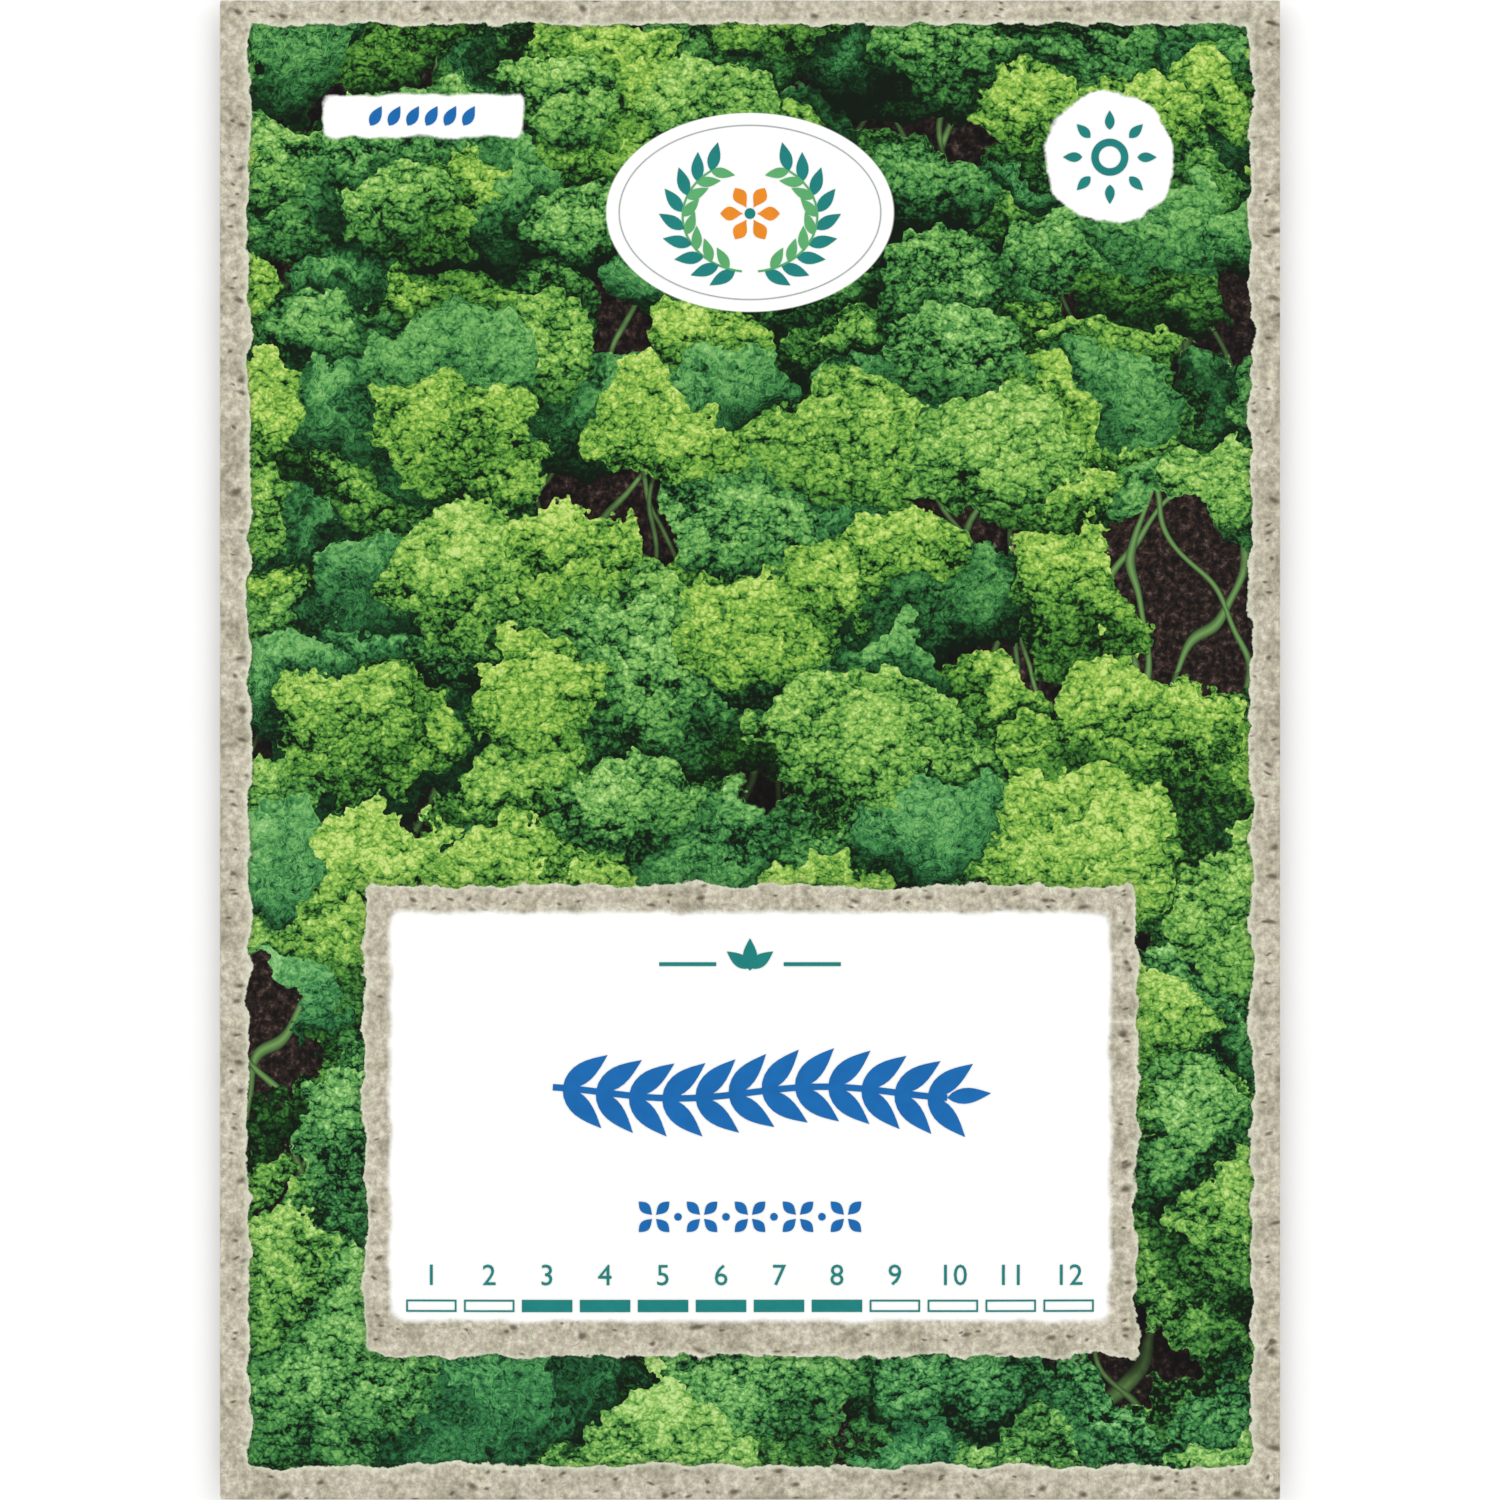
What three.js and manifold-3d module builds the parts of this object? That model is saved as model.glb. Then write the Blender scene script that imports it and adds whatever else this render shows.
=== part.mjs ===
// A flat seed packet, filled and glued shut, lying on its back with the printed front up.
// The bag is one paper blank: the front folds round the left side into the back, round the right
// side into a glue strip inside the back, and round both ends into flaps glued on the back.
// Millimetres, +Z up, +Y towards the packet's top, origin under the packet's centre on the table.
import * as THREE from "three";
import { mergeVertices } from "three/addons/utils/BufferGeometryUtils.js";
import Module from "manifold-3d";

const wasm = await Module();
wasm.setup();

// Driving dimensions
const WIDTH = 82;
const HEIGHT = 116;
const PAPER = 0.15;
const GLUE = 0.06;
const GLUE_CLEARANCE = 0.03;
const GLUE_MARGIN = 1.5; // glue keeps this far from the paper's edges
const SIDE_STRIP = 10; // width of the glue strip inside the right side
const BACK_EDGE_INSET = 1.1; // from the right fold to the back's cut edge
const BOTTOM_FLAP = 12;
const TOP_FLAP = 14;
const FLAP_TAPER = 0.1; // share of its width that a flap loses towards its cut edge
const EDGE_LIFT = 1.2; // how high the back's outer face is off the table round the rim
const FRONT_BULGE = 2.3;
const BACK_BULGE = 1.5;
const BULGE_POWER = 2.5;
const LOW_SHARE = 0.16; // how much fuller the packet is towards its bottom end
const RIGHT_FOLD_OPENING = 0.35; // between the front and the strip folded in behind it

// The seeds: true size of one, and the mound that they lie in
const SEED = { length: 2.7, width: 1.35, height: 1.1 };
const MOUND = { x: 0, y: -7, halfWidth: 27, halfHeight: 38, depth: 3.3, roundness: 0.7 };
const SEED_GAP = 0.15; // between the mound and the paper
const SEED_SINK = 0.1; // how far a seed at the surface lies below the mound's own height
const SEED_TILT = 0.15; // most that a seed leans from level, in radians
const SEEDS_ON_TOP = 84;
const SEEDS_BELOW = 36;
const SEED_RANDOM = 11;

// The tightly packed middle of the mound, which the seeds at its surface stand out of
const CORE_SINK = 0.35; // how deep the core lies under the mound's surface
const CORE_REACH = 0.9; // share of the mound's half width and half height that it fills
const CORE_RINGS = 7;
const CORE_SPOKES = 24;
const CORE_EDGE = 0.2; // least thickness

// Grid steps
const FRONT_COLUMNS = 14;
const MAIN_ROWS = 22;
const FOLD_STEPS = 4;
const FLAP_ROWS = 3;
const STRIP_COLUMNS = 2;

// Heights of the layers round the rim, at the middle of the paper
const LAYER = PAPER + GLUE + 2 * GLUE_CLEARANCE; // two sheets glued on each other
const BACK_Z = EDGE_LIFT + PAPER / 2;
const STRIP_Z = BACK_Z + LAYER;
const FRONT_Z = STRIP_Z + RIGHT_FOLD_OPENING;
const FLAP_Z = BACK_Z - LAYER;
const LEFT_RADIUS = (FRONT_Z - BACK_Z) / 2;
const RIGHT_RADIUS = (FRONT_Z - STRIP_Z) / 2;
const END_RADIUS = (FRONT_Z - FLAP_Z) / 2;
const LEFT_X = -WIDTH / 2 + LEFT_RADIUS + PAPER / 2; // where the left fold starts
const RIGHT_X = WIDTH / 2 - RIGHT_RADIUS - PAPER / 2;
const END_Y = HEIGHT / 2 - END_RADIUS - PAPER / 2;

// How full the packet is at a point: 0 at the rim and 1 in the middle.
function fullness(x, y) {
  const across = 1 - Math.min(1, Math.abs(x / -LEFT_X)) ** BULGE_POWER;
  const along = 1 - Math.min(1, Math.abs(y / END_Y)) ** BULGE_POWER;
  return across * along;
}

function frontMiddle(x, y) {
  return FRONT_Z + FRONT_BULGE * fullness(x, y) * (1 - (LOW_SHARE * y) / END_Y);
}

// The back bulges too, and lies flat where it meets the table.
function backMiddle(x, y) {
  return Math.max(0, EDGE_LIFT - BACK_BULGE * fullness(x, y)) + PAPER / 2;
}

function spaced(count, from, to) {
  return Array.from({ length: count + 1 }, (_, i) => from + ((to - from) * i) / count);
}

// A closed solid from a grid of the paper's middle points, half the thickness to each side.
// has(i, j) says which cells the blank has between points i to i+1 and j to j+1.
function sheetSolid(points, has, thickness) {
  const columns = points.length;
  const rows = points[0].length;
  const normals = points.map((column) => column.map(() => new THREE.Vector3()));
  const corners = (i, j) => [[i, j], [i + 1, j], [i + 1, j + 1], [i, j + 1]];
  const cells = [];
  for (let i = 0; i + 1 < columns; i++)
    for (let j = 0; j + 1 < rows; j++) if (has(i, j)) cells.push([i, j]);
  for (const [i, j] of cells) {
    const [a, b, c, d] = corners(i, j).map(([p, q]) => points[p][q]);
    const normal = c.clone().sub(a).cross(d.clone().sub(b)).normalize();
    for (const [p, q] of corners(i, j)) normals[p][q].add(normal);
  }
  const place = new Map();
  const position = [];
  const vertex = (p, q, side) => {
    const key = `${p},${q},${side}`;
    if (!place.has(key)) {
      const offset = normals[p][q].clone().setLength((side * thickness) / 2);
      place.set(key, position.length / 3);
      position.push(...points[p][q].clone().add(offset).toArray());
    }
    return place.get(key);
  };
  const index = [];
  const quad = (a, b, c, d) => index.push(a, b, c, a, c, d);
  const absent = (i, j) => i < 0 || j < 0 || i + 1 >= columns || j + 1 >= rows || !has(i, j);
  const beyond = [[0, -1], [1, 0], [0, 1], [-1, 0]];
  for (const [i, j] of cells) {
    const ring = corners(i, j);
    quad(...ring.map(([p, q]) => vertex(p, q, 1)));
    quad(...ring.map(([p, q]) => vertex(p, q, -1)).reverse());
    beyond.forEach(([di, dj], k) => {
      if (!absent(i + di, j + dj)) return;
      const a = ring[k];
      const b = ring[(k + 1) % 4];
      quad(vertex(...b, 1), vertex(...a, 1), vertex(...a, -1), vertex(...b, -1));
    });
  }
  const geometry = new THREE.BufferGeometry();
  geometry.setAttribute("position", new THREE.Float32BufferAttribute(position, 3));
  geometry.setIndex(index);
  geometry.computeVertexNormals();
  return geometry;
}

// Half a turn of a fold, from one layer to the one it folds onto.
const foldAngles = spaced(FOLD_STEPS, 0, Math.PI).slice(1, -1);

// The blank's columns, round the packet from the back's cut edge to the strip inside the back
function blankColumns() {
  const backEdge = WIDTH / 2 - BACK_EDGE_INSET;
  const back = spaced(FRONT_COLUMNS, backEdge, LEFT_X).map((x) => ({
    at: (y) => new THREE.Vector3(x, y, backMiddle(x, y)),
  }));
  const leftFold = foldAngles.map((angle) => ({
    at: (y) =>
      new THREE.Vector3(
        LEFT_X - LEFT_RADIUS * Math.sin(angle),
        y,
        BACK_Z + LEFT_RADIUS * (1 - Math.cos(angle)),
      ),
  }));
  const front = spaced(FRONT_COLUMNS, LEFT_X, RIGHT_X).map((x) => ({
    x,
    at: (y) => new THREE.Vector3(x, y, frontMiddle(x, y)),
  }));
  const rightFold = foldAngles.map((angle) => ({
    at: (y) =>
      new THREE.Vector3(
        RIGHT_X + RIGHT_RADIUS * Math.sin(angle),
        y,
        FRONT_Z - RIGHT_RADIUS * (1 - Math.cos(angle)),
      ),
  }));
  const strip = spaced(STRIP_COLUMNS, RIGHT_X, RIGHT_X - SIDE_STRIP).map((x) => ({
    at: (y) => new THREE.Vector3(x, y, backMiddle(x, y) + LAYER),
  }));
  return [...back, ...leftFold, ...front, ...rightFold, ...strip];
}

// An end flap's rows, from its cut edge to its fold; end is -1 at the bottom and 1 at the top.
function flapRows(end, depth) {
  const flap = spaced(FLAP_ROWS, depth, 0).map((reach) => ({
    at: (x) => {
      const narrowed = x * (1 - (FLAP_TAPER * reach) / depth);
      const y = end * (END_Y - reach);
      return new THREE.Vector3(narrowed, y, backMiddle(narrowed, y) - LAYER);
    },
  }));
  const fold = foldAngles.map((angle) => ({
    at: (x) =>
      new THREE.Vector3(
        x,
        end * (END_Y + END_RADIUS * Math.sin(angle)),
        FLAP_Z + END_RADIUS * (1 - Math.cos(angle)),
      ),
  }));
  return [...flap, ...fold];
}

function paperBag() {
  const columns = blankColumns();
  const main = spaced(MAIN_ROWS, -END_Y, END_Y).map((y) => ({ y }));
  const bottom = flapRows(-1, BOTTOM_FLAP);
  const top = flapRows(1, TOP_FLAP).reverse();
  const rows = [...bottom, ...main, ...top];
  const points = columns.map((column) =>
    rows.map((row) => {
      if ("y" in row) return column.at(row.y);
      return "x" in column ? row.at(column.x) : new THREE.Vector3();
    }),
  );
  const isMain = (j) => "y" in rows[j] && "y" in rows[j + 1];
  const isFront = (i) => "x" in columns[i] && "x" in columns[i + 1];
  return sheetSolid(points, (i, j) => isMain(j) || isFront(i), PAPER);
}

// A thin patch of glue on the surface z = middle(x, y), as narrow at each y as the flap it holds
function gluePatch(xs, ys, middle, narrowedAt) {
  const points = xs.map((x) =>
    ys.map((y) => {
      const shown = x * narrowedAt(y);
      return new THREE.Vector3(shown, y, middle(shown, y));
    }),
  );
  return sheetSolid(points, () => true, GLUE);
}

function sideGlue() {
  const inner = RIGHT_X - SIDE_STRIP + GLUE_MARGIN;
  const outer = WIDTH / 2 - BACK_EDGE_INSET - GLUE_MARGIN;
  const ends = END_Y - GLUE_MARGIN;
  const middle = (x, y) => backMiddle(x, y) + LAYER / 2;
  return gluePatch(spaced(2, inner, outer), spaced(MAIN_ROWS, -ends, ends), middle, () => 1);
}

function endGlue(end, depth) {
  const half = -LEFT_X - 2 * GLUE_MARGIN;
  const reaches = [GLUE_MARGIN, depth - GLUE_MARGIN];
  const ys = spaced(2, ...reaches.map((reach) => end * (END_Y - reach)).sort((a, b) => a - b));
  const middle = (x, y) => backMiddle(x, y) - LAYER / 2;
  const narrowedAt = (y) => 1 - (FLAP_TAPER * (END_Y - Math.abs(y))) / depth;
  return gluePatch(spaced(FRONT_COLUMNS, -half, half), ys, middle, narrowedAt);
}

// A repeatable random number from 0 to 1 at each call
function randomSource(seed) {
  let state = seed;
  return () => {
    state = (state * 1664525 + 1013904223) % 4294967296;
    return state / 4294967296;
  };
}

// Where in the mound a point is: 0 in the middle and 1 at its rim
function moundRadius(x, y) {
  return Math.hypot((x - MOUND.x) / MOUND.halfWidth, (y - MOUND.y) / MOUND.halfHeight);
}

function moundBottom(x, y) {
  return backMiddle(x, y) + PAPER / 2 + SEED_GAP;
}

function moundTop(x, y) {
  const ceiling = frontMiddle(x, y) - PAPER / 2 - SEED_GAP;
  const heaped = MOUND.depth * Math.max(0, 1 - moundRadius(x, y) ** 2) ** MOUND.roundness;
  return Math.min(ceiling, moundBottom(x, y) + Math.max(SEED.height, heaped));
}

// The core's points from its middle out, ring by ring, on the level that height(x, y) gives
function corePoints(height) {
  const points = [new THREE.Vector3(MOUND.x, MOUND.y, height(MOUND.x, MOUND.y))];
  for (let ring = 1; ring <= CORE_RINGS; ring++)
    for (let spoke = 0; spoke < CORE_SPOKES; spoke++) {
      const radius = (CORE_REACH * ring) / CORE_RINGS;
      const angle = (2 * Math.PI * spoke) / CORE_SPOKES;
      const x = MOUND.x + MOUND.halfWidth * radius * Math.cos(angle);
      const y = MOUND.y + MOUND.halfHeight * radius * Math.sin(angle);
      points.push(new THREE.Vector3(x, y, height(x, y)));
    }
  return points;
}

function moundCore() {
  const floor = (x, y) => moundBottom(x, y) + CORE_SINK;
  const roof = (x, y) => Math.max(floor(x, y) + CORE_EDGE, moundTop(x, y) - CORE_SINK);
  const lower = corePoints(floor);
  const upper = corePoints(roof);
  const top = lower.length; // index of the upper level's middle
  const at = (ring, spoke) => 1 + (ring - 1) * CORE_SPOKES + (spoke % CORE_SPOKES);
  const index = [];
  const quad = (a, b, c, d) => index.push(a, b, c, a, c, d);
  for (let spoke = 0; spoke < CORE_SPOKES; spoke++) {
    const next = spoke + 1;
    index.push(0, at(1, next), at(1, spoke));
    index.push(top, top + at(1, spoke), top + at(1, next));
    for (let ring = 1; ring < CORE_RINGS; ring++) {
      const [a, b] = [at(ring, spoke), at(ring, next)];
      const [c, d] = [at(ring + 1, next), at(ring + 1, spoke)];
      quad(a, b, c, d);
      quad(top + a, top + d, top + c, top + b);
    }
    const [a, b] = [at(CORE_RINGS, spoke), at(CORE_RINGS, next)];
    quad(a, b, top + b, top + a);
  }
  const position = [...lower, ...upper].flatMap((point) => point.toArray());
  const geometry = new THREE.BufferGeometry();
  geometry.setAttribute("position", new THREE.Float32BufferAttribute(position, 3));
  geometry.setIndex(index);
  return geometry;
}

// One seed, its length along X: a stretched solid of twenty faces, turned and laid in its place
function seedAt(x, y, z, turn, tilt) {
  const geometry = new THREE.IcosahedronGeometry(0.5, 0);
  geometry.deleteAttribute("normal");
  geometry.deleteAttribute("uv");
  geometry.scale(SEED.length, SEED.width, SEED.height);
  geometry.rotateY(tilt).rotateZ(turn).translate(x, y, z);
  return mergeVertices(geometry);
}

function solidOf(geometry) {
  const mesh = new wasm.Mesh({
    numProp: 3,
    vertProperties: new Float32Array(geometry.attributes.position.array),
    triVerts: new Uint32Array(geometry.index.array),
  });
  return new wasm.Manifold(mesh);
}

function geometryOf(solid) {
  const mesh = solid.getMesh();
  const geometry = new THREE.BufferGeometry();
  geometry.setAttribute("position", new THREE.Float32BufferAttribute(mesh.vertProperties, 3));
  geometry.setIndex(new THREE.Uint32BufferAttribute(mesh.triVerts, 1));
  geometry.computeVertexNormals();
  return geometry;
}

// Seeds over a mound's surface in a sunflower's even spiral, each turned its own way
function seedLayer(count, reach, height, random) {
  const goldenAngle = Math.PI * (3 - Math.sqrt(5));
  return Array.from({ length: count }, (_, k) => {
    const radius = reach * Math.sqrt((k + 0.5) / count);
    const x = MOUND.x + MOUND.halfWidth * radius * Math.cos(k * goldenAngle);
    const y = MOUND.y + MOUND.halfHeight * radius * Math.sin(k * goldenAngle);
    const turn = Math.PI * random();
    const tilt = SEED_TILT * (2 * random() - 1);
    return seedAt(x, y, height(x, y), turn, tilt);
  });
}

function seedMound() {
  const random = randomSource(SEED_RANDOM);
  const half = SEED.height / 2 + SEED_SINK;
  const onTop = (x, y) => Math.max(moundBottom(x, y) + half, moundTop(x, y) - half);
  const below = (x, y) => moundBottom(x, y) + half;
  const seeds = [
    ...seedLayer(SEEDS_ON_TOP, CORE_REACH, onTop, random),
    ...seedLayer(SEEDS_BELOW, CORE_REACH, below, random),
  ];
  const solids = [moundCore(), ...seeds].map(solidOf);
  return geometryOf(wasm.Manifold.union(solids));
}

function material(color, roughness) {
  return new THREE.MeshStandardMaterial({ color, roughness, metalness: 0 });
}

function piece(name, geometry, finish) {
  const mesh = new THREE.Mesh(geometry, finish);
  mesh.name = name;
  return mesh;
}

const printedPaper = material("#c9bfa8", 0.6);
const glue = material("#e8dfc4", 0.4);
const seedCoat = material("#7b6a4c", 0.8);

const packet = new THREE.Group();
packet.add(
  piece("paper_bag", paperBag(), printedPaper),
  piece("side_glue", sideGlue(), glue),
  piece("bottom_glue", endGlue(-1, BOTTOM_FLAP), glue),
  piece("top_glue", endGlue(1, TOP_FLAP), glue),
  piece("seeds", seedMound(), seedCoat),
);

export default packet;
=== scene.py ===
"""The looks of a flat, filled paper seed packet lying on its back, its printed front up.

The paper's form repeats the folded blank of the solid part, in metres: front, back, a strip
folded in behind the right side, and a flap at each end. The print is made of procedural
materials, and the small ornaments on it are thin layers of ink laid on the paper.
"""
import math
import random

import bmesh
import bpy
from mathutils import Matrix, Vector, noise


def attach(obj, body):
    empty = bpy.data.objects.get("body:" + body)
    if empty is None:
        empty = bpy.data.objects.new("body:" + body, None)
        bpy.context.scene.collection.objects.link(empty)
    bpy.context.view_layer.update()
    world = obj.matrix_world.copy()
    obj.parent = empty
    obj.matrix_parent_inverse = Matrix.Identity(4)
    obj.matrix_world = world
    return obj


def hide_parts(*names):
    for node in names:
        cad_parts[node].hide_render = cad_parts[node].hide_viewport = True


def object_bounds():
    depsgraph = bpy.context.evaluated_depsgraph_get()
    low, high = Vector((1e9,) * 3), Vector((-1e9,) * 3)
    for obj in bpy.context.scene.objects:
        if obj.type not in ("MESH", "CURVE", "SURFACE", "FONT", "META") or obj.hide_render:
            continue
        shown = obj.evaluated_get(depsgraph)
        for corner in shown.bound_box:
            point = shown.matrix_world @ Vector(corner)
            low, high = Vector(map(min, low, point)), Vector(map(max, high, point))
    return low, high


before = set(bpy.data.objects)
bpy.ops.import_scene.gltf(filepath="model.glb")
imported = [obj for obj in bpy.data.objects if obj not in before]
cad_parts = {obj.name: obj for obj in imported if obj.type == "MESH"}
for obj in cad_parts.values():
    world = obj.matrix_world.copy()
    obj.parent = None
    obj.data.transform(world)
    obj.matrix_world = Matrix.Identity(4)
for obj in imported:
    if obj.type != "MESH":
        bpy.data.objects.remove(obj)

CAD_BOX = [list(corner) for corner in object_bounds()]

bl_info = {
    "name": "Seed packet",
    "version": (1, 0, 0),
    "blender": (4, 5, 0),
    "location": "3D View > Sidebar > Seed packet",
    "description": "Builds a flat printed paper seed packet with its glue, seeds and inks",
    "category": "Object",
}

MM = 0.001
PER_MM = 1 / MM

# Colours as seen in print, in sRGB
WHITE_PAPER = "#fbfbf8"
PALE_RIM = "#dfe3cd"
RAW_PAPER = "#e9e4d6"
TEAL_INK = "#1d807c"
BLUE_INK = "#1768ae"
GREEN_INK = "#5aa96b"
ORANGE_INK = "#e88a24"
GREY_INK = "#a9b0b3"
GLUE_AMBER = "#d9c58f"
SEED_BROWN = "#6b573a"

# Kinds of node; those for sums come with their operation
NOISE, VORONOI = "ShaderNodeTexNoise", "ShaderNodeTexVoronoi"
MATH, VECTOR, MIX = "ShaderNodeMath", "ShaderNodeVectorMath", "ShaderNodeMix"
RANGE, RAMP, BUMP = "ShaderNodeMapRange", "ShaderNodeValToRGB", "ShaderNodeBump"
AXES, CHANNELS = "ShaderNodeSeparateXYZ", "ShaderNodeSeparateColor"
SUM, LESS, TIMES, SHARE, SCALED, OVER = (
    (MATH, work) for work in ("ADD", "SUBTRACT", "MULTIPLY", "DIVIDE", "MULTIPLY_ADD", "GREATER_THAN"))
V_SUM, V_LESS, V_TIMES, V_SCALED = (
    (VECTOR, work) for work in ("ADD", "SUBTRACT", "MULTIPLY", "MULTIPLY_ADD"))
FLAT = {"noise_dimensions": "2D"}
CELLS = {"voronoi_dimensions": "2D", "feature": "F1"}
NUMBER = {"data_type": "FLOAT"}
COLOUR = {"data_type": "RGBA"}
DARKENED = {"data_type": "RGBA", "blend_type": "MULTIPLY"}
SMOOTH = {"interpolation_type": "SMOOTHSTEP"}


def linear(hex_colour):
    """The linear colour of an sRGB hex value."""
    parts = [int(hex_colour[i:i + 2], 16) / 255 for i in (1, 3, 5)]
    return tuple(c / 12.92 if c <= 0.04045 else ((c + 0.055) / 1.055) ** 2.4 for c in parts)


def fill(tree, node, values):
    """Fills a node's inputs, each with a value, a hex colour, a socket or a node's first output."""
    for key, value in values.items():
        if isinstance(value, str):
            value = (*linear(value), 1)
        if isinstance(value, bpy.types.Node):
            value = next(socket for socket in value.outputs if socket.enabled)
        if isinstance(value, bpy.types.NodeSocket):
            tree.links.new(value, node.inputs[key])
        elif value is not None:
            node.inputs[key].default_value = value


def add(tree, kind, *values, ramp=(), **settings):
    """Adds one node, of a type or a type with its operation. The values fill its inputs in turn."""
    kind, operation = kind if isinstance(kind, tuple) else (kind, None)
    node = tree.nodes.new(kind)
    if operation:
        node.operation = operation
    for name, value in settings.items():
        setattr(node, name, value)
    fill(tree, node, dict(zip([i for i, socket in enumerate(node.inputs) if socket.enabled], values)))
    for extra in range(len(ramp) - 2):
        node.color_ramp.elements.new(0.5)
    for element, (place, colour) in zip(node.color_ramp.elements if ramp else (), ramp):
        element.position = place
        element.color = (*linear(colour), 1)
    return node


class Form:
    """The folded bag's shape, from the packet's sizes: where each point of the flat blank lies."""

    SIDE_STRIP = 10 * MM
    BACK_EDGE_INSET = 1.1 * MM
    BOTTOM_FLAP, TOP_FLAP = 12 * MM, 14 * MM
    FLAP_TAPER = 0.1
    GLUE_LAYER = 0.12 * MM  # glue and the gaps on both sides of it
    EDGE_LIFT = 1.2 * MM
    RIGHT_FOLD_OPENING = 0.35 * MM
    BULGE_POWER = 2.5
    LOW_SHARE = 0.16

    def __init__(self, sizes):
        self.paper = sizes.paper
        self.front_bulge, self.back_bulge = sizes.front_bulge, sizes.back_bulge
        self.layer = self.paper + self.GLUE_LAYER
        self.back_z = self.EDGE_LIFT + self.paper / 2
        self.front_z = self.back_z + self.layer + self.RIGHT_FOLD_OPENING
        self.left_radius = (self.front_z - self.back_z) / 2
        self.right_radius = self.RIGHT_FOLD_OPENING / 2
        self.end_radius = (self.front_z - self.back_z + self.layer) / 2
        half_width, half_height = sizes.width / 2, sizes.height / 2
        self.left = half_width - self.left_radius - self.paper / 2
        self.right = half_width - self.right_radius - self.paper / 2
        self.end = half_height - self.end_radius - self.paper / 2
        self.left_turn = self.left_radius * math.pi
        self.right_turn = self.right_radius * math.pi
        self.end_turn = self.end_radius * math.pi
        self.back_middle_u = -2 * self.left - self.left_turn
        self.back_edge_u = self.back_middle_u - half_width + self.BACK_EDGE_INSET

    def fullness(self, x, y):
        """How full the packet is at a point: 0 at the rim and 1 in the middle."""
        across = 1 - min(1, abs(x / self.left)) ** self.BULGE_POWER
        along = 1 - min(1, abs(y / self.end)) ** self.BULGE_POWER
        return across * along

    def front(self, x, y):
        """Height of the front, at the middle of its paper."""
        lean = 1 - self.LOW_SHARE * y / self.end
        return self.front_z + self.front_bulge * self.fullness(x, y) * lean + self.ripple(x, y)

    def back(self, x, y):
        """Height of the back, which lies flat where it meets the table."""
        hang = self.EDGE_LIFT - self.back_bulge * self.fullness(x, y)
        return max(0, hang) + self.paper / 2

    def ripple(self, x, y):
        """The seeds that press through the front, and soft puckers in from its rim."""
        full = self.fullness(x, y)
        over_seeds = min(1, max(0, (full - 0.25) * 2))
        seeds = noise.noise(Vector((x, y, 0)) * 0.42 * PER_MM) * 0.035 * MM * over_seeds
        rim = full * (1 - full) * 4
        across = noise.noise(Vector((x * 0.035, y * 0.10, 3 * MM)) * PER_MM)
        along = noise.noise(Vector((x * 0.10, y * 0.035, 9 * MM)) * PER_MM)
        return seeds + (across + along) * rim * 0.13 * MM

    def past_fold(self, reach, radius):
        """How far out, down and round a sheet has gone at a reach beyond a fold line."""
        turn = min(max(0, reach) / radius, math.pi)
        rest = reach - turn * radius
        out = radius * math.sin(turn)
        return (out - rest if turn == math.pi else out + rest), radius * (1 - math.cos(turn)), turn

    def folded(self, u, v):
        """Where the flat blank's point (u, v) lies in the folded bag, at the middle of the paper."""
        line, radius = (self.right, self.right_radius) if u > 0 else (self.left, self.left_radius)
        out, down, turn = self.past_fold(abs(u) - line, radius)
        x = math.copysign(1, u) * (line + out)
        end_out, end_down, end_turn = self.past_fold(abs(v) - self.end, self.end_radius)
        y = math.copysign(1, v) * (self.end + end_out)
        if end_turn == math.pi:
            depth = self.TOP_FLAP if v > 0 else self.BOTTOM_FLAP
            x *= 1 - self.FLAP_TAPER * -end_out / depth
            return Vector((x, y, self.back(x, y) - self.layer))
        if turn == math.pi:
            over = self.layer if u > 0 else 0
            return Vector((x, y, self.back(x, y) + over))
        if turn == 0 and end_turn == 0:
            return Vector((x, y, self.front(x, y)))
        return Vector((x, y, self.front_z - down - end_down))

    def front_face(self, x, y):
        """Height of the printed face of the front."""
        return self.front(x, y) + self.paper / 2

    def back_face(self, x, y):
        """Height of the printed face of the back."""
        return self.back(x, y) - self.paper / 2


def steps(start, stop, count):
    return [start + (stop - start) * i / count for i in range(count + 1)]


def stops(start, *stretches):
    """Rising places from a start, each stretch given as its count of even steps and its end."""
    places = [start]
    for count, end in zip(stretches[::2], stretches[1::2]):
        places += steps(start, end, count)[1:]
        start = end
    return places


def map_sheet(mesh, us, vs, cells):
    """Sets a sheet's printed side, and its two UV maps: the place on the blank, and a bake map."""
    # the faces come in turn: the printed side, the inside, and the walls round the rim. In the bake
    # map the print fills most of the square, and the rest lies in strips beside it.
    PRINT_SHARE, WALL_FROM, WALL_TO, INSIDE_FROM = 0.94, 0.95, 0.955, 0.965
    sheet = mesh.uv_layers.new(name="sheet")
    bake = mesh.uv_layers.new(name="OFBake")
    for k, face in enumerate(mesh.polygons):
        face.material_index = 0 if k < cells else 1
        for corner in face.loop_indices:
            side, rest = divmod(mesh.loops[corner].vertex_index, len(us) * len(vs))
            i, j = divmod(rest, len(vs))
            sheet.data[corner].uv = (us[i], vs[j])
            along = (us[i] - us[0]) / (us[-1] - us[0])
            up = (vs[j] - vs[0]) / (vs[-1] - vs[0])
            if k < cells:
                bake.data[corner].uv = (along * PRINT_SHARE, up)
            elif k < 2 * cells:
                bake.data[corner].uv = (INSIDE_FROM + along * (1 - INSIDE_FROM), up)
            else:
                bake.data[corner].uv = (WALL_TO if side else WALL_FROM, (along + up) / 2)
    mesh.uv_layers.active = sheet
    sheet.active_render = True


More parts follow.
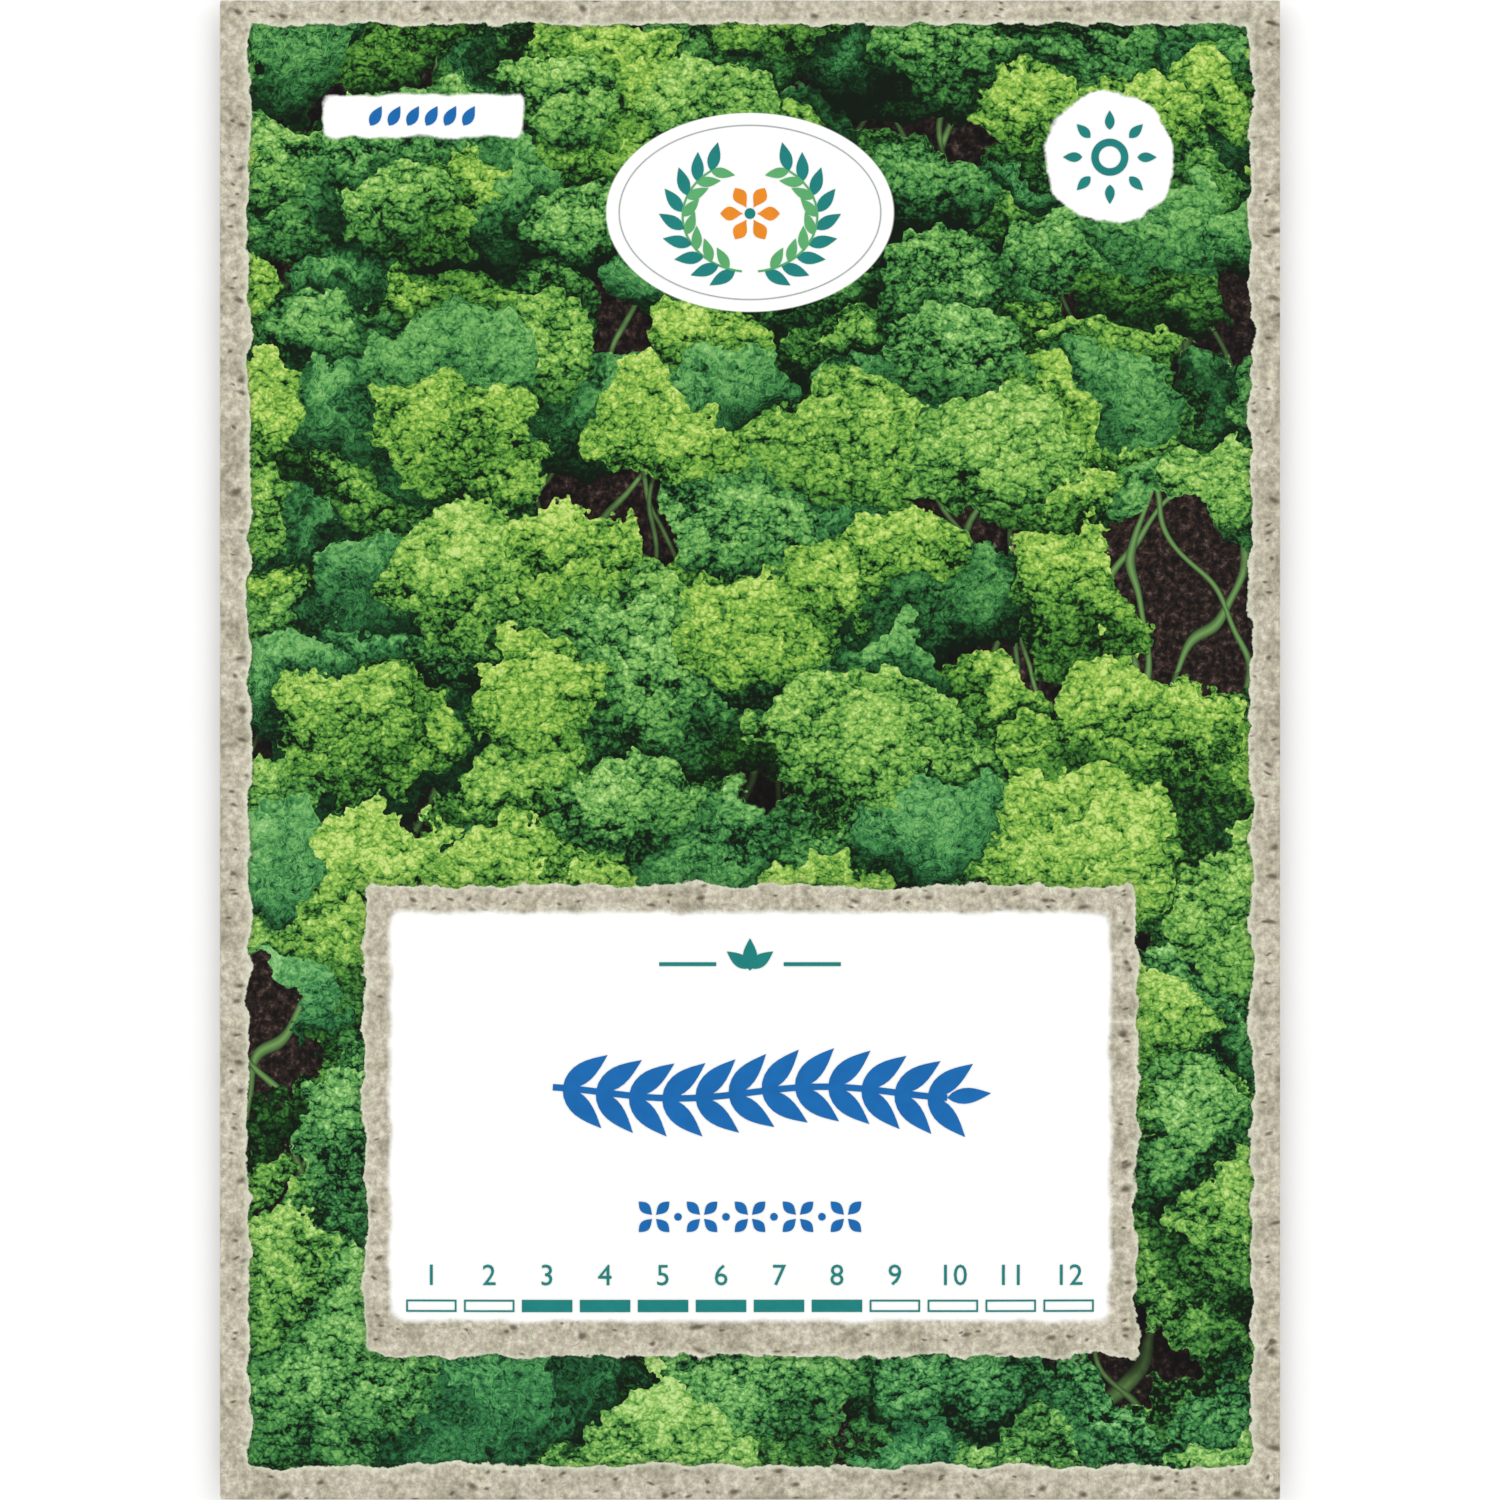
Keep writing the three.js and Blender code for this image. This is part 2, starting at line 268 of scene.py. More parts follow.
def paper_sheet(name, form, us, vs, printed, raw):
    """A closed sheet of paper from the part of the blank at the places us and vs."""
    points = [[form.folded(u, v) for v in vs] for u in us]
    wide, high = len(us), len(vs)
    normals = [[Vector() for v in vs] for u in us]
    for i in range(wide - 1):
        for j in range(high - 1):
            ring = ((i, j), (i + 1, j), (i + 1, j + 1), (i, j + 1))
            a, b, c, d = (points[p][q] for p, q in ring)
            normal = (c - a).cross(d - b).normalized()
            for p, q in ring:
                normals[p][q] += normal
    half = form.paper / 2
    places = [points[i][j] + normals[i][j].normalized() * half * side
              for side in (1, -1) for i in range(wide) for j in range(high)]

    def at(i, j, side):
        return (wide * high if side < 0 else 0) + i * high + j

    cells = [(i, j) for i in range(wide - 1) for j in range(high - 1)]
    outer = [(at(i, j, 1), at(i + 1, j, 1), at(i + 1, j + 1, 1), at(i, j + 1, 1)) for i, j in cells]
    inner = [(at(i, j, -1), at(i, j + 1, -1), at(i + 1, j + 1, -1), at(i + 1, j, -1)) for i, j in cells]
    rim = [(i, 0) for i in range(wide - 1)]
    rim += [(wide - 1, j) for j in range(high - 1)]
    rim += [(i, high - 1) for i in range(wide - 1, 0, -1)]
    rim += [(0, j) for j in range(high - 1, 0, -1)]
    walls = [(at(*b, 1), at(*a, 1), at(*a, -1), at(*b, -1)) for a, b in zip(rim, rim[1:] + rim[:1])]
    mesh = bpy.data.meshes.new(name)
    mesh.from_pydata(places, [], outer + inner + walls)
    mesh.materials.append(printed)
    mesh.materials.append(raw)
    map_sheet(mesh, us, vs, len(cells))
    mesh.shade_smooth()
    mesh.set_sharp_from_angle(angle=math.radians(50))
    return placed(name, mesh)


def placed(name, data):
    """Puts a finished mesh, or other data, into the scene at the origin."""
    piece = bpy.data.objects.new(name, data)
    bpy.context.scene.collection.objects.link(piece)
    return piece


def handed_over(piece, slot, *nodes):
    """Hangs a piece under the root and hides the solids it stands for; its slot is not used."""
    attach(piece, "root")
    for node in nodes:
        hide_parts(node)


# The print


def material_tree(name):
    """A new material with one principled shader; returns it, its tree and the shader."""
    material = bpy.data.materials.new(name)
    material.use_nodes = True
    tree = material.node_tree
    return material, tree, tree.nodes["Principled BSDF"]


def sheet_place(tree, middle=(0, 0)):
    """The place on the flat blank in millimetres from a middle."""
    uv = add(tree, "ShaderNodeUVMap", uv_map="sheet")
    scaled = add(tree, V_TIMES, uv, (PER_MM, PER_MM, 0))
    return add(tree, V_LESS, scaled, (*(c * PER_MM for c in middle), 0))


def object_place(tree):
    """The place on the object, in metres."""
    return add(tree, "ShaderNodeTexCoord").outputs["Object"]


def torn_edge(tree, place):
    """How far a torn edge wanders at each place: about 1 each way, slow waves with a fine fray."""
    slow = add(tree, NOISE, place, 0.32, 1.0, 0.6, **FLAT)
    fast = add(tree, NOISE, place, 1.4, 2.0, 0.7, **FLAT)
    slow = add(tree, SCALED, slow, 2.6, -1.8)
    return add(tree, SUM, fast, slow)


def box_distance(tree, place, middle, half, corner=0.6):
    """Distance in millimetres outside a rounded box; negative inside it."""
    local = add(tree, V_LESS, place, (*middle, 0))
    size = add(tree, VECTOR, local, operation="ABSOLUTE")
    over = add(tree, AXES, add(tree, V_LESS, size, (*half, 0)))
    return add(tree, MATH, over.outputs["X"], over.outputs["Y"], corner, operation="SMOOTH_MAX")


def oval_distance(tree, place, middle, half):
    """About the distance in millimetres outside an oval; negative inside it."""
    local = add(tree, V_LESS, place, (*middle, 0))
    unit = add(tree, V_TIMES, local, (1 / half[0], 1 / half[1], 0))
    reach = add(tree, VECTOR, unit, operation="LENGTH").outputs["Value"]
    return add(tree, SCALED, reach, min(half), -min(half))


def laid_over(tree, below, above, distance, soft):
    """One print over another inside a shape, with an edge that is soft over some millimetres."""
    share = add(tree, RANGE, distance, soft / 2, -soft / 2, 0.0, 1.0, **SMOOTH)
    return add(tree, MIX, share, below, above, **COLOUR)


def ridges(tree, wave, width, crest, trough):
    """Thin crests where a noise passes its middle, and troughs between them."""
    away = add(tree, LESS, wave, 0.5)
    away = add(tree, MATH, away, operation="ABSOLUTE")
    return add(tree, RANGE, away, 0.0, width, crest, trough)


def scattered(tree, place):
    """Spots strewn one to a unit: the nearest spot's draws, and how this place lies from it."""
    spot = add(tree, VORONOI, place, 1.0, **CELLS)
    away = add(tree, V_LESS, place, spot.outputs["Position"])
    return spot, away, add(tree, AXES, away).outputs["Y"]


def handmade_paper(tree, place):
    """The picture of rough handmade paper: grey-beige mottling, pressed fibres and dark flecks."""
    cloud = add(tree, NOISE, place, 0.28, 3.0, 0.6, **FLAT)
    base = add(tree, RAMP, cloud, ramp=[
        (0.30, "#a6a08c"), (0.45, "#b8b29d"), (0.58, "#c6bfad"), (0.72, "#bdb9a2")])
    grain = add(tree, NOISE, place, 1.7, 3.0, 0.7, **FLAT)
    grain = add(tree, RAMP, grain, ramp=[(0.30, "#6f6f6f"), (0.50, "#b4b4b4"), (0.70, "#eaeaea")])
    colour = add(tree, MIX, 0.55, base, grain, blend_type="OVERLAY", **COLOUR)
    bend = add(tree, NOISE, place, 0.5, 0.0, 0.5, **FLAT)
    bent = add(tree, V_SCALED, bend.outputs["Color"], (3, 3, 0), place)
    shown = add(tree, RANGE, cloud, 0.45, 0.6, 0.15, 1.0)
    for stretch, tone in (((0.25, 1.1), "#857c68"), ((0.4, 1.2), "#e2dac8")):
        laid = add(tree, V_TIMES, bent, (*stretch, 0))
        fibre = ridges(tree, add(tree, NOISE, laid, 1.0, 1.0, 0.5, **FLAT), 0.014, 0.5, 0.0)
        line = add(tree, TIMES, fibre, shown)
        colour = add(tree, MIX, line, colour, tone, **COLOUR)
    strewn = add(tree, V_SCALED, bend.outputs["Color"], (0.9, 0.9, 0), place)
    strewn = add(tree, V_TIMES, strewn, (0.75, 1.3, 0))
    for pitch, size, rare in ((0.45, 0.19, 0.74), (0.95, 0.23, 0.78)):
        speck = add(tree, VORONOI, strewn, pitch, **CELLS)
        drawn = add(tree, CHANNELS, speck.outputs["Color"])
        kept = add(tree, OVER, drawn.outputs[0], rare)
        dot = add(tree, RANGE, speck, size, size * 0.3, 0.0, 0.85)
        dot = add(tree, TIMES, dot, kept)
        colour = add(tree, MIX, dot, colour, "#574c3c", **COLOUR)
    return colour


# Ovals where fewer heads stand and the soil shows: middle and half size in millimetres
CLEARINGS = (((36, 13), (7, 11)), ((-37, -20), (7, 6)))


def layered_heads(tree, bent):
    """Domed heads in layers, the last in front: their shade, own number, tint and place in a head."""
    LAYERS, SMALLEST, LARGEST = 11, 14, 25  # a layer's heads stand so many millimetres apart
    sparse = 0.42  # the share of places without a head
    for middle, half in CLEARINGS:
        reach = oval_distance(tree, bent, middle, half)
        sparse = add(tree, SUM, add(tree, RANGE, reach, 0.0, -2.0, 0.0, 0.6), sparse)
    shade, own, tint, spot = 0.05, 0.0, 0.6, (0.0, 0.0, 0.0)
    draws = random.Random(12)
    for layer in range(LAYERS):
        behind = 1 - layer / (LAYERS - 1)
        pitch = draws.uniform(SMALLEST, LARGEST)
        offset = (draws.uniform(0, 100), draws.uniform(0, 100), 0)
        cell = add(tree, V_SCALED, bent, (1 / pitch, 1.25 / pitch, 0), offset)
        head, local, height_in_head = scattered(tree, cell)
        head.inputs["Randomness"].default_value = 0.95
        drawn = add(tree, CHANNELS, head.outputs["Color"])
        # a dome that is brighter at its top, and darker the further back its layer lies
        radius = add(tree, SCALED, drawn.outputs[0], 0.25, 0.30)
        reach = add(tree, SHARE, head, radius)
        dome = add(tree, SCALED, add(tree, TIMES, reach, reach), -1.0, 1.0)
        high = add(tree, SHARE, height_in_head, radius)
        lit = add(tree, SCALED, high, 0.25, 0.38)
        lit = add(tree, SCALED, dome, 0.13, lit)
        depth = -0.12 - 0.20 * behind ** 1.5
        tone = add(tree, SCALED, drawn.outputs[1], 0.26, depth)
        head_shade = add(tree, SUM, lit, tone)
        # it hides what is behind it, and throws a soft shade round itself
        kept = add(tree, OVER, drawn.outputs[2], sparse)
        cover = add(tree, RANGE, dome, 0.0, 0.04, 0.0, 1.0)
        cover = add(tree, TIMES, cover, kept)
        crisp = add(tree, OVER, cover, 0.5)
        halo = add(tree, RANGE, dome, -0.9, 0.0, 1.0, 0.5, **SMOOTH)
        halo = add(tree, MIX, kept, 1.0, halo, **NUMBER)
        shade = add(tree, TIMES, shade, halo)
        shade = add(tree, MIX, cover, shade, head_shade, **NUMBER)
        number = add(tree, SUM, drawn.outputs[0], layer + 1.0)
        own = add(tree, MIX, crisp, own, number, **NUMBER)
        tint = add(tree, MIX, crisp, tint, drawn.outputs[1], **NUMBER)
        spot = add(tree, MIX, crisp, spot, local, data_type="VECTOR").outputs[1]
    return shade, own, tint, spot


def curls(tree, moved, curled):
    """Lumps, tufts, curls and their tips, each lit on its upper side, with ruffles and frills."""
    detail = 0.0
    for source, pitch, top_lit, hollow, middle in (
            (moved, 4.4, 0.34, 0.46, 0.26), (moved, 1.9, 0.22, 0.30, 0.17),
            (curled, 0.8, 0.30, 0.56, 0.32), (curled, 0.42, 0.26, 0.66, 0.37),
            (curled, 0.24, 0.16, 0.50, 0.28)):
        scaled = add(tree, V_SCALED, source, (1 / pitch, 1 / pitch, 0), (pitch, pitch, 0))
        lump, _, height_in_lump = scattered(tree, scaled)
        part = add(tree, SCALED, height_in_lump, top_lit, middle)
        peaked = add(tree, MATH, lump, 0.6, operation="POWER")
        part = add(tree, SCALED, peaked, -hollow, part)
        detail = add(tree, SUM, detail, part)
    ruffle = ridges(tree, add(tree, NOISE, curled, 2.2, 1.0, 0.5, **FLAT), 0.12, 0.13, -0.058)
    frill = add(tree, NOISE, curled, 1.0, 3.0, 0.7, **FLAT)
    frill = add(tree, SCALED, frill, 0.9, -0.45)
    return add(tree, SUM, detail, add(tree, SUM, frill, ruffle))


def fronds(tree, spot, jumped, sway):
    """Feathery fronds that spread from a head's foot."""
    foot = add(tree, V_SUM, spot, (0.0, 0.42, 0.0))
    axes = add(tree, AXES, foot)
    turn = add(tree, MATH, axes.outputs["X"], axes.outputs["Y"], operation="ARCTAN2")
    far = add(tree, VECTOR, foot, operation="LENGTH").outputs["Value"]
    fan = add(tree, "ShaderNodeCombineXYZ", turn, far, 0.0)
    fan = add(tree, V_SCALED, fan, (9.0, 5.0, 0.0), jumped)
    fan = add(tree, V_SCALED, sway, (2.0, 2.0, 0.0), fan)
    return ridges(tree, add(tree, NOISE, fan, 1.0, 2.0, 0.6, **FLAT), 0.12, 0.40, -0.26)


def leaf_green(tree, value, tint, height):
    """A leaf's colour in its light: yellowish green, or a cooler one in some heads and low down."""
    warm = add(tree, RAMP, value, ramp=[
        (0.0, "#021202"), (0.11, "#10390e"), (0.24, "#336a24"), (0.40, "#558e34"),
        (0.56, "#76a840"), (0.72, "#91ba4c"), (0.86, "#a9ca5c"), (1.0, "#c4dc7c")])
    cool = add(tree, RAMP, value, ramp=[
        (0.0, "#011004"), (0.11, "#0a3618"), (0.24, "#246438"), (0.40, "#40884c"),
        (0.56, "#60a45e"), (0.72, "#78b670"), (0.86, "#90c884"), (1.0, "#b0dca8")])
    low = add(tree, RANGE, height, 0.0, -50.0, 0.0, 0.35)
    blend = add(tree, SUM, add(tree, RANGE, tint, 0.05, 0.75, 0.8, 0.0), low)
    return add(tree, MIX, blend, warm, cool, **COLOUR)


def foliage(tree, place):
    """The printed picture: curly green heads in layers, lit from above, over dark soil and stems."""
    height = add(tree, AXES, place).outputs["Y"]
    nearer = add(tree, SCALED, height, 0.0035, 1.0)
    bent = add(tree, VECTOR, place, nearer, operation="SCALE")
    shifts = []
    for scale, size in ((0.09, 5.0), (0.26, 4.2), (0.8, 1.6), (2.0, 0.8)):
        warp = add(tree, NOISE, place, scale, 1.0, 0.5, **FLAT)
        shift = add(tree, V_LESS, warp.outputs["Color"], (0.5, 0.5, 0.5))
        shifts.append(shift)
        bent = add(tree, V_SCALED, shift, (size, size, 0), bent)
    shade, own, tint, spot = layered_heads(tree, bent)
    behind = soil_and_stems(tree, place, shifts[0], shade)
    region = add(tree, NOISE, place, 0.035, 1.0, 0.5, **FLAT)
    region = add(tree, SCALED, region, 0.35, -0.195)
    shade = add(tree, SUM, region, shade)
    # each head has curls of its own
    jump = add(tree, TIMES, own, 37.0)
    jumped = add(tree, "ShaderNodeCombineXYZ", jump, jump, 0.0)
    moved = add(tree, V_SUM, bent, jumped)
    curled = add(tree, V_SUM, place, jumped)
    for shift, size in ((shifts[2], 0.5), (shifts[3], 0.15)):
        curled = add(tree, V_SCALED, shift, (size, size, 0), curled)
    # the coolest heads are feathery
    feathery = add(tree, RANGE, tint, 0.12, 0.3, 0.55, 0.0)
    frond = fronds(tree, spot, jumped, shifts[2])
    detail = add(tree, MIX, feathery, curls(tree, moved, curled), frond, **NUMBER)
    gate = add(tree, RANGE, shade, 0.02, 0.40, 0.2, 0.74)
    value = add(tree, SCALED, detail, gate, shade)
    leaves = leaf_green(tree, value, tint, height)
    covered = add(tree, OVER, own, 0.5)
    return add(tree, MIX, covered, behind, leaves, **COLOUR)


def soil_and_stems(tree, place, sway, shade):
    """What shows between the heads: crumbly soil, crossed by leaning stems."""
    soil = add(tree, NOISE, place, 1.6, 3.0, 0.75, **FLAT)
    behind = add(tree, RAMP, soil, ramp=[
        (0.36, "#080605"), (0.5, "#1f1613"), (0.62, "#3a2c26"), (0.78, "#6a5850")])
    for lean, pitch in ((0.55, 3.1), (-0.4, 3.7), (0.1, 4.9)):
        swayed = add(tree, V_SCALED, sway, (6.0, 6.0, 0.0), place)
        turned = add(tree, "ShaderNodeVectorRotate", swayed, (0, 0, 0), lean, rotation_type="Z_AXIS")
        across = add(tree, AXES, turned).outputs["X"]
        stem = add(tree, MATH, across, pitch, operation="PINGPONG")
        line = add(tree, RANGE, stem, 0.20, 0.28, 1.0, 0.0)
        lit = add(tree, RAMP, add(tree, RANGE, stem, 0.0, 0.28, 1.0, 0.0), ramp=[
            (0.0, "#16301a"), (1.0, "#6f9a55")])
        behind = add(tree, MIX, line, behind, lit, **COLOUR)
    dimmed = add(tree, TIMES, shade, 20.0)
    return add(tree, MIX, 1.0, behind, dimmed, **DARKENED)


# Shapes printed on the front: middle and half size in millimetres from the front's middle
WINDOW = ((0, 0.4), (38.7, 55.7))
LABEL_FRAME = ((0, -28.6), (29.8, 18.2))
LABEL = ((0, -28.3), (27.8, 15.8))
EMBLEM = ((0, 41.5), (11.1, 7.7))
TAG = ((-25.3, 49.0), (7.8, 1.65))
BADGE = ((27.8, 45.8), (5.0, 5.0))


def printed_front(tree, place):
    """The colour of the front's print."""
    paper = handmade_paper(tree, place)
    wander = torn_edge(tree, place)
    window = add(tree, SCALED, wander, 0.45, box_distance(tree, place, *WINDOW))
    dimming = add(tree, RANGE, window, -0.5, 0.0, 1.0, 0.55)
    picture = add(tree, MIX, 1.0, foliage(tree, place), dimming, **DARKENED)
    rim = add(tree, RANGE, window, 0.0, 0.55, 0.6, 0.0, **SMOOTH)
    colour = add(tree, MIX, rim, paper, PALE_RIM, **COLOUR)
    colour = laid_over(tree, colour, picture, window, 0.12)
    frame_far = add(tree, SCALED, wander, 0.5, box_distance(tree, place, *LABEL_FRAME, 1.0))
    shadow = add(tree, RANGE, frame_far, 0.0, 1.0, 0.72, 1.0, **SMOOTH)
    colour = add(tree, MIX, 1.0, colour, shadow, **DARKENED)
    rim = add(tree, RANGE, frame_far, -0.45, 0.0, 0.0, 0.5, **SMOOTH)
    colour = laid_over(tree, colour, add(tree, MIX, rim, paper, PALE_RIM, **COLOUR), frame_far, 0.12)
    for distance, swing, soft in (
            (box_distance(tree, place, *LABEL, 1.5), 0.22, 0.6),
            (oval_distance(tree, place, *EMBLEM), 0.0, 0.12),
            (box_distance(tree, place, *TAG, 1.4), 0.26, 0.3),
            (oval_distance(tree, place, *BADGE), 0.36, 0.3)):
        edge = add(tree, SCALED, wander, swing, distance)
        colour = laid_over(tree, colour, WHITE_PAPER, edge, soft)
    return colour


BACK_PANEL = ((0, 1.0), (31.0, 36.0))


def printed_back(tree, place):
    """The colour of the back's print: handmade paper with one white panel."""
    paper = handmade_paper(tree, place)
    panel = box_distance(tree, place, *BACK_PANEL, 1.5)
    panel = add(tree, SCALED, torn_edge(tree, place), 0.3, panel)
    return laid_over(tree, paper, WHITE_PAPER, panel, 0.8)


def coated_paper(name, picture, middle=(0, 0)):
    """Coated paper, offset printed: an even satin sheen over a print, with a faint paper grain."""
    material, tree, shader = material_tree(name)
    place = sheet_place(tree, middle)
    colour = picture(tree, place)
    fibre = add(tree, NOISE, place, 3.0, 3.0, 0.6, **FLAT)
    fill(tree, shader, {
        "Base Color": colour, "Specular IOR Level": 0.12,
        "Roughness": add(tree, RANGE, fibre, 0.3, 0.7, 0.42, 0.54),
        "Normal": add(tree, BUMP, 0.10, 0.02 * MM, None, fibre)})
    return material


def raw_paper(name, colour):
    """Uncoated inside and cut edge of the paper: off-white and matt, with short fibres."""
    material, tree, shader = material_tree(name)
    fibre = add(tree, NOISE, sheet_place(tree), 2.2, 4.0, 0.65, **FLAT)
    tone = add(tree, RANGE, fibre, 0.3, 0.7, 0.88, 1.0)
    fill(tree, shader, {
        "Base Color": add(tree, MIX, 1.0, colour, tone, **DARKENED),
        "Roughness": 0.85, "Normal": add(tree, BUMP, 0.25, 0.03 * MM, None, fibre)})
    return material


def printing_ink(name, colour):
    """Offset ink on coated paper: an even colour with slight changes in density, satin."""
    material, tree, shader = material_tree(name)
    patch = add(tree, NOISE, object_place(tree), 0.6 * PER_MM, 3.0, 0.6)
    tone = add(tree, RANGE, patch, 0.3, 0.7, 0.90, 1.04)
    fill(tree, shader, {
        "Base Color": add(tree, MIX, 1.0, (*colour, 1), tone, **DARKENED),
        "Roughness": 0.42, "Specular IOR Level": 0.12})
    return material


def dried_glue(colour):
    """Dextrin glue, rolled on and dried: amber, slightly clear, with an uneven gloss."""
    material, tree, shader = material_tree("dried_dextrin_glue")
    flow = add(tree, NOISE, object_place(tree), 0.9 * PER_MM, 3.0, 0.6)
    fill(tree, shader, {
        "Base Color": add(tree, RAMP, flow, ramp=[(0.3, "#c8b075"), (0.6, colour), (0.8, "#e9dcb4")]),
        "Roughness": add(tree, RANGE, flow, 0.3, 0.7, 0.25, 0.5),
        "Normal": add(tree, BUMP, 0.3, 0.02 * MM, None, flow)})
    return material


def seed_coat(colour):
    """Dry umbel seed coat: grey-brown, cloudy and finely grained, matt."""
    material, tree, shader = material_tree("dry_seed_coat")
    place = object_place(tree)
    patch = add(tree, NOISE, place, 0.5 * PER_MM, 2.0, 0.5)
    base = add(tree, RAMP, patch, ramp=[(0.3, "#4d3d27"), (0.5, colour), (0.75, "#96815a")])
    grain = add(tree, NOISE, place, 6 * PER_MM, 3.0, 0.6)
    tone = add(tree, RANGE, grain, 0.3, 0.7, 0.75, 1.1)
    fill(tree, shader, {
        "Base Color": add(tree, MIX, 1.0, base, tone, **DARKENED),
        "Roughness": 0.8, "Normal": add(tree, BUMP, 0.4, 0.03 * MM, None, grain)})
    return material


def floor_board(colour):
    """Smooth painted board, rolled matt: an even white ground that takes a soft shadow."""
    material, tree, shader = material_tree("matt_white_board")
    cloud = add(tree, NOISE, object_place(tree), 8.0, 2.0, 0.5)
    tone = add(tree, RANGE, cloud, 0.3, 0.7, 0.985, 1.0)
    fill(tree, shader, {
        "Base Color": add(tree, MIX, 1.0, (*colour, 1), tone, **DARKENED), "Roughness": 0.9})
    return material


# Geometry nodes


def node_tree(name, inputs):
    """A geometry node tree with named inputs after its geometry, and one geometry output."""
    tree = bpy.data.node_groups.new(name, "GeometryNodeTree")
    face = tree.interface
    face.new_socket("Geometry", in_out="INPUT", socket_type="NodeSocketGeometry")
    for label, kind in inputs:
        face.new_socket(label, in_out="INPUT", socket_type=kind)
    face.new_socket("Geometry", in_out="OUTPUT", socket_type="NodeSocketGeometry")
    return tree, tree.nodes.new("NodeGroupInput").outputs


def set_inputs(modifier, values):
    """Fills a tree's inputs, each found by its name and set by its identifier."""
    for item in modifier.node_group.interface.items_tree if values else ():
        key = item.name.lower().replace(" ", "_")
        if item.in_out == "INPUT" and key in values:
            modifier[item.identifier] = values[key]


def evaluated(data, kind=None, inputs=None, **settings):
    """The plain mesh of a curve, text or mesh, after a modifier where one is named."""
    source = placed(data.name, data)
    modifier = source.modifiers.new("rule", kind) if kind else None
    for name, value in settings.items():
        setattr(modifier, name, value)
    set_inputs(modifier, inputs or {})
    ready = source.evaluated_get(bpy.context.evaluated_depsgraph_get())
    mesh = bpy.data.meshes.new_from_object(ready)
    bpy.data.objects.remove(source)
    return mesh


def grown(data, tree, shape_input, shape, **inputs):
    """The mesh that a tree makes along data, with copies of a shape given as one of its inputs."""
    holder = bpy.data.objects.new("shape", shape)
    mesh = evaluated(data, "NODES", {shape_input: holder, **inputs}, node_group=tree)
    bpy.data.objects.remove(holder)
    return mesh


def stamp_tree():
    """Sets a flat shape along a curve at even steps, turned away from the curve's run."""
    tree, given = node_tree("Stamp along a curve", (
        ("Shape", "NodeSocketObject"), ("Count", "NodeSocketInt"), ("Turn", "NodeSocketFloat"),
        ("Size", "NodeSocketFloat"), ("Both sides", "NodeSocketBool"), ("Ink", "NodeSocketMaterial")))
    shape = add(tree, "GeometryNodeObjectInfo", given["Shape"]).outputs["Geometry"]
    points = add(tree, "GeometryNodeCurveToPoints", given["Geometry"], given["Count"], mode="COUNT")
    run = add(tree, "FunctionNodeAlignRotationToVector", None, 1.0, points.outputs["Tangent"],
              axis="X", pivot_axis="Z")
    both = tree.nodes.new("GeometryNodeJoinGeometry")
    other = add(tree, TIMES, given["Turn"], -1.0)
    for angle, shown in ((given["Turn"], True), (other, given["Both sides"])):
        turn = add(tree, "FunctionNodeAxisAngleToRotation", (0, 0, 1), angle)
        way = add(tree, "FunctionNodeRotateRotation", run, turn, rotation_space="LOCAL")
        copies = add(tree, "GeometryNodeInstanceOnPoints", points, shown, shape, None, None, way,
                     given["Size"])
        tree.links.new(copies.outputs[0], both.inputs[0])
    real = add(tree, "GeometryNodeRealizeInstances", both)
    add(tree, "NodeGroupOutput", add(tree, "GeometryNodeSetMaterial", real, None, given["Ink"]))
    return tree


def heap_tree():
    """Lays a seed on every free spot of a surface, each turned its own way."""
    tree, given = node_tree("Seed heap", (
        ("Seed", "NodeSocketObject"), ("Spacing", "NodeSocketFloat"), ("Random", "NodeSocketInt"),
        ("Coat", "NodeSocketMaterial")))
    seed = add(tree, "GeometryNodeObjectInfo", given["Seed"]).outputs["Geometry"]
    most = add(tree, SHARE, 1.0, add(tree, TIMES, given["Spacing"], given["Spacing"]))
    spots = add(tree, "GeometryNodeDistributePointsOnFaces", given["Geometry"], None,
                given["Spacing"], most, 1.0, given["Random"], distribute_method="POISSON")
    turn = add(tree, "FunctionNodeRandomValue", (-0.25, -0.25, 0), (0.25, 0.25, math.tau), None,
               given["Random"], data_type="FLOAT_VECTOR")
    size = add(tree, "FunctionNodeRandomValue", 0.85, 1.1, None, given["Random"], **NUMBER)
    laid = add(tree, "GeometryNodeInstanceOnPoints", spots, None, seed, None, None, turn, size)
    real = add(tree, "GeometryNodeRealizeInstances", laid)
    add(tree, "NodeGroupOutput", add(tree, "GeometryNodeSetMaterial", real, None, given["Coat"]))
    return tree


# Flat shapes, in millimetres


def outline(points):
    """A flat mesh of one face from the points round it."""
    mesh = bpy.data.meshes.new("shape")
    mesh.from_pydata([(x, y, 0) for x, y in points], [], [range(len(points))])
    return mesh


def leaf(width, tip=0.8, side_points=7):
    """A pointed leaf of length 1 along X, broadest nearer its root when tip is under 1."""
    share = [i / (side_points + 1) for i in range(1, side_points + 1)]
    lower = [(t, -width / 2 * math.sin(math.pi * t ** tip)) for t in share]
    upper = [(x, -y) for x, y in reversed(lower)]
    return outline([(0, 0), *lower, (1, 0), *upper])


def disc(radius, sides=16):
    return outline([(radius * math.cos(math.tau * i / sides), radius * math.sin(math.tau * i / sides))
                    for i in range(sides)])


